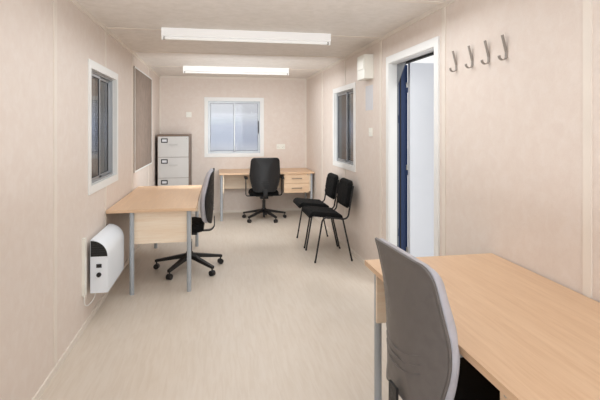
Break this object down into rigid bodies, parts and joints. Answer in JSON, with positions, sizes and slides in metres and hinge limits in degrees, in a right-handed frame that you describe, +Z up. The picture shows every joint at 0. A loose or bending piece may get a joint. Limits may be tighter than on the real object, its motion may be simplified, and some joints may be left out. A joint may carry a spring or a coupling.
{
  "type": "portable site cabin",
  "caption": "Long steel-clad portable site cabin, hollow and furnished as an office, with a hinged side door, sliding windows, desks and chairs.",
  "frame": {"origin": "on the ground under the middle of the plan, at the underside of the middle cross rail", "axes": "+X across the cabin to the wall with the door, +Y along it to the far end, +Z up"},
  "size_m": [3.6345, 9.759, 2.7019],
  "materials": {
    "base_steel": "satin",
    "shell_paint": "satin",
    "roof_sheet": "matte",
    "floor_board": "sealed",
    "floor_vinyl": "satin",
    "wall_board": "vinyl-faced board",
    "ceiling_board": "vinyl-faced board",
    "cream_trim": "satin",
    "white_trim": "satin",
    "window_aluminium": "mill",
    "window_glass": "clear",
    "door_steel": "satin",
    "door_face": "satin",
    "bright_steel": "brushed",
    "light_case": "gloss",
    "light_tube": "frosted",
    "heater_case": "satin",
    "black_plastic": "moulded",
    "cord_cover": "smooth",
    "white_plastic": "moulded",
    "board_felt": "felt",
    "sheet_paper": "plain",
    "desk_board": "beech laminate",
    "leg_paint": "satin",
    "chair_fabric": "woven",
    "frame_paint": "satin",
    "cabinet_paint": "satin"
  },
  "bodies": {
    "cabin": {"base_side_rails": "base_steel", "base_cross_members": "base_steel", "fork_pockets": "base_steel", "corner_posts": "shell_paint", "wall_cladding": "shell_paint", "roof_capping": "shell_paint", "lifting_eyes": "shell_paint", "roof": "roof_sheet", "floor_deck": "floor_board", "floor_vinyl": "floor_vinyl", "left_wall": "wall_board", "far_wall": "wall_board", "near_wall": "wall_board", "right_wall_far": "wall_board", "right_wall_near": "wall_board", "right_wall_over_door": "wall_board", "ceiling_board": "ceiling_board", "cover_strips": "cream_trim", "edge_trims": "cream_trim", "window_trims": "white_trim", "door_lining": "white_trim", "door_architrave": "white_trim", "notice_board_edge": "white_trim", "window_frames": "window_aluminium", "window_sashes": "window_aluminium", "window_glass": "window_glass", "door_frame": "door_steel", "coat_hooks": "bright_steel", "light_bodies": "light_case", "light_tubes": "light_tube", "heater_body": "heater_case", "heater_fittings": "black_plastic", "chair_bases": "black_plastic", "chair_castors": "black_plastic", "chair_columns": "black_plastic", "chair_shells": "black_plastic", "chair_arms": "black_plastic", "heater_cord": "cord_cover", "cable_outlet": "white_plastic", "consumer_unit": "white_plastic", "switch_plates": "white_plastic", "notice_board": "board_felt", "notice_sheet": "sheet_paper", "desk_tops": "desk_board", "desk_panels": "desk_board", "desk_pedestals": "desk_board", "desk_drawers": "desk_board", "desk_legs": "leg_paint", "chair_seats": "chair_fabric", "chair_backs": "chair_fabric", "visitor_pads": "chair_fabric", "visitor_frames": "frame_paint", "filing_cabinet": "cabinet_paint", "filing_drawers": "cabinet_paint"},
    "door": {"door_leaf": "door_face", "door_hinges": "bright_steel", "door_handles": "bright_steel"}
  },
  "joints": [
    {"name": "door_hinge", "type": "hinge", "parent": "cabin", "child": "door", "pos_m": [1.3865, 0.8415, 0], "axis": [0, 0, 1], "range_deg": [-90, 80]}
  ]
}
